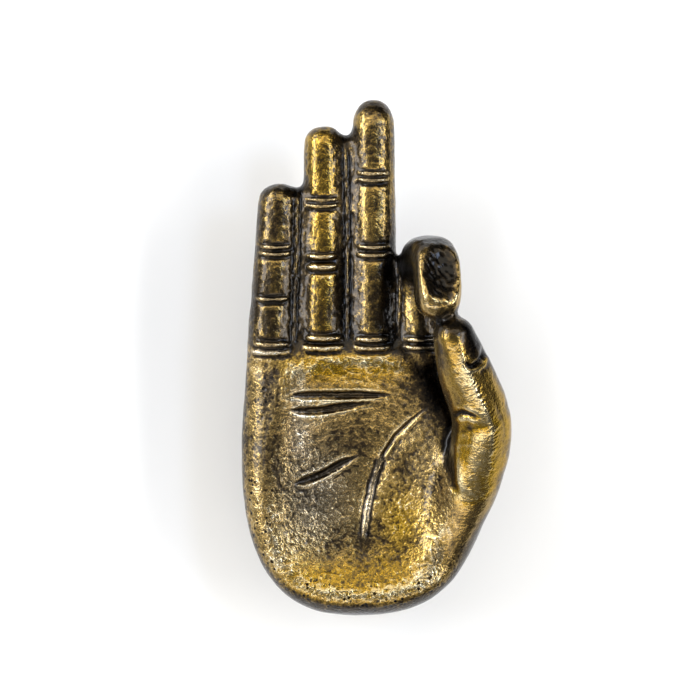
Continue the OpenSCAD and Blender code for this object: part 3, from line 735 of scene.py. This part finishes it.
        # Pores of 0.5 mm, about one in each second square of 1.3 mm
        cells = add(tree, "ShaderNodeTexVoronoi", {"Vector": place, "Scale": 1 / 0.0013})
        pore = add(tree, "ShaderNodeMapRange", {
            "Value": cells.outputs["Distance"], "From Min": 0.3, "From Max": 0.16}).outputs[0]
        some = add(tree, "ShaderNodeMapRange", {"Value": cloud, "From Min": 0.44, "From Max": 0.54}).outputs[0]
        pore = add(tree, "ShaderNodeMath", {0: pore, 1: porous}, operation="MULTIPLY").outputs[0]
        pore = add(tree, "ShaderNodeMath", {0: pore, 1: some}, operation="MULTIPLY").outputs[0]
        worn = add(tree, "ShaderNodeMath", {0: pore, 1: -0.7, 2: worn}, operation="MULTIPLY_ADD").outputs[0]
        ramp = add(tree, "ShaderNodeValToRGB", {"Fac": worn})
        stops = (
            (0.05, settings.patina), (0.33, settings.umber), (0.6, settings.brass), (0.88, settings.bright))
        while len(ramp.color_ramp.elements) < len(stops):
            ramp.color_ramp.elements.new(0.5)
        for element, (where, colour) in zip(ramp.color_ramp.elements, stops):
            element.position = where
            element.color = (*colour, 1.0)
        depth = add(tree, "ShaderNodeMapRange", {
            "Value": add(tree, "ShaderNodeAttribute", attribute_name="gold").outputs["Fac"],
            "From Min": -1.0, "To Min": 0.54, "To Max": 1.14}).outputs[0]
        colour = add(tree, "ShaderNodeHueSaturation", {
            "Hue": 0.506, "Saturation": depth, "Color": ramp.outputs["Color"]}).outputs[0]
        rough = add(tree, "ShaderNodeMapRange", {
            "Value": worn, "From Min": 0.1, "From Max": 0.9, "To Min": 0.26, "To Max": 0.13}).outputs[0]
        rough = add(tree, "ShaderNodeMath", {0: lively, 1: 0.12, 2: rough}, operation="MULTIPLY_ADD").outputs[0]
        fine = add(tree, "ShaderNodeMath", {0: speck, 1: 0.7, 2: grain}, operation="MULTIPLY_ADD").outputs[0]
        relief = add(tree, "ShaderNodeMath", {0: lively, 1: 0.85, 2: 0.1}, operation="MULTIPLY_ADD").outputs[0]
        fine = add(tree, "ShaderNodeMath", {0: fine, 1: relief}, operation="MULTIPLY").outputs[0]
        fine = add(tree, "ShaderNodeMath", {0: pore, 1: -0.6, 2: fine}, operation="MULTIPLY_ADD").outputs[0]
        bump = add(tree, "ShaderNodeBump", {"Height": fine, "Strength": 0.8, "Distance": 0.0004}).outputs[0]
        shader = add(tree, "ShaderNodeBsdfPrincipled", {
            "Base Color": colour, "Metallic": 1.0, "Roughness": rough, "Normal": bump,
            "Coat Weight": 0.4, "Coat Roughness": 0.16})
        add(tree, "ShaderNodeOutputMaterial", {"Surface": shader.outputs[0]})
        return made


class BRASS_HAND_OT_bolt(bpy.types.Operator):
    """Cuts the threads of the hanger bolt: a machine thread for the casting and a wood thread for the plug"""

    bl_idname = "brass_hand.bolt"
    bl_label = "Hanger bolt"

    def execute(self, context):
        settings = context.scene.brass_hand_fixing
        low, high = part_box("hanger_bolt")
        # Metres, with the machine thread in front of the wall and the wood thread behind its face
        shoulder, point, blunt = 0.0016, 0.009, 0.0004
        chamfer, chamfer_length = 0.0004, 0.0006
        machine_thread = (low.y + 0.0008, -0.002)
        wood_thread = (0.0045, high.y - point)
        radius = high.x
        root = radius - 0.55 * settings.thread_pitch
        core = radius * 0.72
        form = bmesh.new()
        profile = [
            (0, low.y), (root - chamfer, low.y), (root, low.y + chamfer_length), (root, -shoulder),
            (core, shoulder), (core, high.y - point), (blunt, high.y), (0, high.y)]
        spots = [form.verts.new((r, y, 0)) for r, y in profile]
        for a, b in zip(spots, spots[1:]):
            form.edges.new((a, b))
        bmesh.ops.spin(
            form, geom=form.verts[:] + form.edges[:], cent=(0, 0, 0), axis=(0, 1, 0), angle=2 * math.pi,
            steps=32, use_merge=True)
        bmesh.ops.remove_doubles(form, verts=form.verts, dist=1e-6)
        self.thread(form, root, radius, *machine_thread, settings.thread_pitch)
        self.thread(form, core, radius, *wood_thread, settings.wood_pitch)
        bmesh.ops.recalc_face_normals(form, faces=form.faces)
        mesh = bpy.data.meshes.new("threaded_bolt")
        form.to_mesh(mesh)
        form.free()
        piece = new_piece("threaded_bolt", mesh, plated_steel(settings.zinc))
        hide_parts("hanger_bolt")
        return {"FINISHED"}

    def thread(self, form, root, crest, start, end, pitch):
        """Winds one three-sided ridge round the bolt, closed at both ends."""
        half, sunk, steps_a_turn = 0.4 * pitch, 0.00005, 24
        turns = (end - start - 2 * half) / pitch
        steps = int(steps_a_turn * turns)
        corners = [(root - sunk, -half), (crest, 0), (root - sunk, half)]
        spots = [form.verts.new((r, start + half + y, 0)) for r, y in corners]
        face = form.faces.new(spots)
        bmesh.ops.spin(
            form, geom=spots + list(face.edges) + [face], cent=(0, 0, 0), axis=(0, 1, 0),
            dvec=(0, pitch * turns / steps, 0), angle=2 * math.pi * turns, steps=steps)


def plated_steel(colour):
    """Steel, turned or rolled and zinc plated: a cool even gloss with a faint cloud in it."""
    made, tree = fresh("zinc_plated_steel")
    place = add(tree, "ShaderNodeTexCoord").outputs["Object"]
    # Spangle of the plating, 1.5 mm
    cloud = add(tree, "ShaderNodeTexNoise", {
        "Vector": place, "Scale": 1 / 0.0015, "Detail": 3.0}).outputs["Fac"]
    rough = add(tree, "ShaderNodeMapRange", {"Value": cloud, "To Min": 0.24, "To Max": 0.42}).outputs[0]
    tone = add(tree, "ShaderNodeMix", {
        "Factor": cloud, "A": (*[0.75 * c for c in colour], 1.0), "B": (*colour, 1.0)}, data_type="RGBA")
    shader = add(tree, "ShaderNodeBsdfPrincipled", {
        "Base Color": tone.outputs["Result"], "Metallic": 1.0, "Roughness": rough})
    add(tree, "ShaderNodeOutputMaterial", {"Surface": shader.outputs[0]})
    return made


class BRASS_HAND_OT_fixings(bpy.types.Operator):
    """Gives the stand-off, nut, washer and plug their finishes"""

    bl_idname = "brass_hand.fixings"
    bl_label = "Stand-off, nut, washer and plug"

    def execute(self, context):
        settings = context.scene.brass_hand_fixing
        finishes = {
            "stand_off": self.turned_brass(settings.turned),
            "lock_nut": plated_steel(settings.zinc),
            "spring_washer": self.spring_steel(settings.spring),
            "wall_plug": self.moulded_nylon(settings.nylon),
        }
        for node, finish in finishes.items():
            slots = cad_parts[node].material_slots
            if not slots:
                raise RuntimeError(f"{node} has no material slot")
            slots[0].material = finish
        return {"FINISHED"}

    def turned_brass(self, colour):
        """Brass bar, turned on a lathe: fine rings that draw the highlight out, and a little tarnish."""
        made, tree = fresh("turned_brass")
        place = add(tree, "ShaderNodeTexCoord").outputs["Object"]
        # Tool rings 0.25 mm apart, drawn at 0.5 mm so that they show
        # A wave of scale 1 has 20 / 2 pi rings a metre
        rings = add(tree, "ShaderNodeTexWave", {
            "Vector": place, "Scale": 1 / 0.0005 / 20 * 2 * math.pi, "Distortion": 0.0},
            wave_type="RINGS", rings_direction="Y").outputs["Fac"]
        cloud = add(tree, "ShaderNodeTexNoise", {
            "Vector": place, "Scale": 1 / 0.004, "Detail": 3.0}).outputs["Fac"]
        tone = add(tree, "ShaderNodeMix", {
            "Factor": cloud, "A": (*[0.5 * c for c in colour], 1.0), "B": (*colour, 1.0)}, data_type="RGBA")
        rough = add(tree, "ShaderNodeMapRange", {"Value": cloud, "To Min": 0.42, "To Max": 0.26}).outputs[0]
        bump = add(tree, "ShaderNodeBump", {"Height": rings, "Strength": 0.15, "Distance": 0.00005}).outputs[0]
        shader = add(tree, "ShaderNodeBsdfPrincipled", {
            "Base Color": tone.outputs["Result"], "Metallic": 1.0, "Roughness": rough, "Normal": bump})
        add(tree, "ShaderNodeOutputMaterial", {"Surface": shader.outputs[0]})
        return made

    def spring_steel(self, colour):
        """Spring steel, rolled, hardened and oiled: dull grey with darker heat marks."""
        made, tree = fresh("oiled_spring_steel")
        place = add(tree, "ShaderNodeTexCoord").outputs["Object"]
        # Heat marks of 3 mm
        marks = add(tree, "ShaderNodeTexNoise", {
            "Vector": place, "Scale": 1 / 0.003, "Detail": 4.0}).outputs["Fac"]
        tone = add(tree, "ShaderNodeMix", {
            "Factor": marks, "A": (*[0.4 * c for c in colour], 1.0), "B": (*colour, 1.0)}, data_type="RGBA")
        shader = add(tree, "ShaderNodeBsdfPrincipled", {
            "Base Color": tone.outputs["Result"], "Metallic": 1.0, "Roughness": 0.4})
        add(tree, "ShaderNodeOutputMaterial", {"Surface": shader.outputs[0]})
        return made

    def moulded_nylon(self, colour):
        """Nylon, injection moulded: satin grey with a fine spark-eroded texture."""
        made, tree = fresh("moulded_nylon")
        place = add(tree, "ShaderNodeTexCoord").outputs["Object"]
        # Texture of the mould, 0.3 mm
        grit = add(tree, "ShaderNodeTexNoise", {
            "Vector": place, "Scale": 1 / 0.0003, "Detail": 2.0}).outputs["Fac"]
        tone = add(tree, "ShaderNodeMix", {
            "Factor": grit, "A": (*[0.8 * c for c in colour], 1.0), "B": (*colour, 1.0)}, data_type="RGBA")
        bump = add(tree, "ShaderNodeBump", {"Height": grit, "Strength": 0.3, "Distance": 0.00005}).outputs[0]
        shader = add(tree, "ShaderNodeBsdfPrincipled", {
            "Base Color": tone.outputs["Result"], "Roughness": 0.45, "IOR": 1.53, "Normal": bump})
        add(tree, "ShaderNodeOutputMaterial", {"Surface": shader.outputs[0]})
        return made


class BRASS_HAND_OT_stage(bpy.types.Operator):
    """Sets the white wall, the lamps, the room and the camera"""

    bl_idname = "brass_hand.stage"
    bl_label = "Stage"

    def execute(self, context):
        settings = context.scene.brass_hand_stage
        scene = context.scene
        scene.view_settings.view_transform = "Standard"
        self.wall(scene)
        self.room(scene, settings.room)
        self.lamp(scene, "key", (-0.64, -0.53, 0.3), (0.28, 0.8), settings.key_power, "#f3f7ff")
        self.lamp(scene, "strip", (0.62, -0.58, 0.02), (0.12, 0.6), settings.strip_power)
        self.lamp(scene, "top", (0.0, -0.62, 0.42), (0.7, 0.3), settings.top_power, "#fff6e4")
        self.lamp(scene, "tray", (-0.12, -0.52, -0.46), (1.1, 0.16), settings.tray_power, "#fff6e4")
        self.lamp(scene, "card", (-0.4, -0.75, -0.08), (0.1, 0.5), settings.card_power)
        self.lamp(scene, "window", (0.37, -0.66, 0.19), (0.12, 0.2), settings.window_power, "#c8dcff")
        bounce = self.lamp(scene, "bounce", (0.74, -0.5, -0.15), (0.4, 2.2), settings.bounce_power)
        bounce.visible_glossy = False
        lens = bpy.data.cameras.new("camera")
        lens.sensor_width = 36.0
        lens.lens = lens.sensor_width * (EYE - PLANE) / VIEW_WIDTH
        lens.clip_start = 0.01
        camera = bpy.data.objects.new("camera", lens)
        camera.location = (AIM[0] / MM, -EYE / MM, AIM[1] / MM)
        camera.rotation_euler = (math.pi / 2, 0, 0)
        scene.collection.objects.link(camera)
        scene.camera = camera
        return {"FINISHED"}

    def lamp(self, scene, name, place, size, power, colour="#ffffff"):
        """A softbox that looks at the hand."""
        light = bpy.data.lights.new(name, "AREA")
        light.shape = "RECTANGLE"
        light.size, light.size_y = size
        light.energy = power
        light.color = tint(colour)[:3]
        lamp = bpy.data.objects.new(name, light)
        lamp.location = place
        palm = Vector((0, -0.02, 0.005))
        lamp.rotation_euler = (palm - Vector(place)).to_track_quat("-Z", "Y").to_euler()
        scene.collection.objects.link(lamp)
        return lamp

    def wall(self, scene):
        """A wide wall, a hair behind the flange so that the two faces don't share a plane."""
        half_width, gap = 1.2, 0.0002
        form = bmesh.new()
        bmesh.ops.create_grid(form, x_segments=1, y_segments=1, size=half_width)
        bmesh.ops.rotate(form, verts=form.verts, cent=(0, 0, 0), matrix=Matrix.Rotation(math.pi / 2, 3, "X"))
        bmesh.ops.translate(form, verts=form.verts, vec=(0, gap, 0))
        mesh = bpy.data.meshes.new("plaster_wall")
        form.to_mesh(mesh)
        form.free()
        mesh.materials.append(self.plaster())
        wall = bpy.data.objects.new("plaster_wall", mesh)
        scene.collection.objects.link(wall)

    def plaster(self):
        """Plaster, trowelled smooth and painted white: flat white that keeps a soft shadow. One side only."""
        made, tree = fresh("painted_plaster")
        # The paint glows a little, but only to the eye and in reflections, so that it lights nothing
        path = add(tree, "ShaderNodeLightPath")
        shown = path.outputs["Is Camera Ray"]
        for kind in ("Is Glossy Ray", "Is Transmission Ray"):
            shown = add(tree, "ShaderNodeMath", {
                0: shown, 1: path.outputs[kind]}, operation="MAXIMUM").outputs[0]
        share = add(tree, "ShaderNodeMath", {0: shown, 1: 0.02}, operation="MULTIPLY").outputs[0]
        glow = add(tree, "ShaderNodeEmission", {"Color": (1.0, 1.0, 1.0, 1.0), "Strength": share}).outputs[0]
        paint = add(tree, "ShaderNodeBsdfDiffuse", {"Color": tint("#ebebea")}).outputs[0]
        front = add(tree, "ShaderNodeAddShader", {0: paint, 1: glow}).outputs[0]
        clear = add(tree, "ShaderNodeBsdfTransparent").outputs[0]
        back = add(tree, "ShaderNodeNewGeometry").outputs["Backfacing"]
        both = add(tree, "ShaderNodeMixShader", {0: back, 1: front, 2: clear}).outputs[0]
        add(tree, "ShaderNodeOutputMaterial", {"Surface": both})
        return made

    def room(self, scene, level):
        """A grey room that shows as white, with a paler floor than ceiling and windows on the left."""
        world = bpy.data.worlds.new("room")
        scene.world = world
        world.use_nodes = True
        tree = world.node_tree
        tree.nodes.clear()
        way = add(tree, "ShaderNodeTexCoord").outputs["Generated"]
        parts = add(tree, "ShaderNodeSeparateXYZ", {0: way})
        rise = add(tree, "ShaderNodeMapRange", {
            "Value": parts.outputs["Z"], "From Min": -1.0, "From Max": 1.0, "To Min": level,
            "To Max": 0.5 * level}).outputs[0]
        windows = add(tree, "ShaderNodeMapRange", {
            "Value": parts.outputs["X"], "From Min": -0.9, "From Max": 0.7, "To Min": 2.0,
            "To Max": 0.3}).outputs[0]
        tone = add(tree, "ShaderNodeMath", {0: rise, 1: windows}, operation="MULTIPLY").outputs[0]
        dim = add(tree, "ShaderNodeBackground", {"Color": (1.0, 1.0, 1.0, 1.0), "Strength": tone}).outputs[0]
        white = add(tree, "ShaderNodeBackground", {"Color": (1.0, 1.0, 1.0, 1.0), "Strength": 1.0}).outputs[0]
        shown = add(tree, "ShaderNodeLightPath").outputs["Is Camera Ray"]
        both = add(tree, "ShaderNodeMixShader", {0: shown, 1: dim, 2: white}).outputs[0]
        add(tree, "ShaderNodeOutputWorld", {"Surface": both})


class BRASS_HAND_PT_panel(bpy.types.Panel):
    """Lists the steps that dress the hand"""

    bl_label = "Brass Hand"
    bl_idname = "BRASS_HAND_PT_panel"
    bl_space_type = "VIEW_3D"
    bl_region_type = "UI"
    bl_category = "Brass Hand"

    def draw(self, context):
        layout = self.layout
        groups = (
            (context.scene.brass_hand_stage, ("brass_hand.stage",)),
            (context.scene.brass_hand_casting, ("brass_hand.casting",)),
            (context.scene.brass_hand_fixing, ("brass_hand.bolt", "brass_hand.fixings")),
        )
        for group, steps in groups:
            box = layout.box()
            for name in group.__annotations__:
                box.prop(group, name)
            for one in steps:
                box.operator(one)


GROUPS = {
    "brass_hand_casting": CastingSettings,
    "brass_hand_fixing": FixingSettings,
    "brass_hand_stage": StageSettings,
}
CLASSES = (
    *GROUPS.values(),
    BRASS_HAND_OT_stage,
    BRASS_HAND_OT_casting,
    BRASS_HAND_OT_bolt,
    BRASS_HAND_OT_fixings,
    BRASS_HAND_PT_panel,
)


def register():
    for one in CLASSES:
        bpy.utils.register_class(one)
    for name, group in GROUPS.items():
        setattr(bpy.types.Scene, name, bpy.props.PointerProperty(type=group))


def unregister():
    for name in GROUPS:
        delattr(bpy.types.Scene, name)
    for one in reversed(CLASSES):
        bpy.utils.unregister_class(one)


def main():
    register()
    bpy.ops.brass_hand.stage()
    bpy.ops.brass_hand.casting()
    bpy.ops.brass_hand.bolt()
    bpy.ops.brass_hand.fixings()


if __name__ == "__main__":
    main()
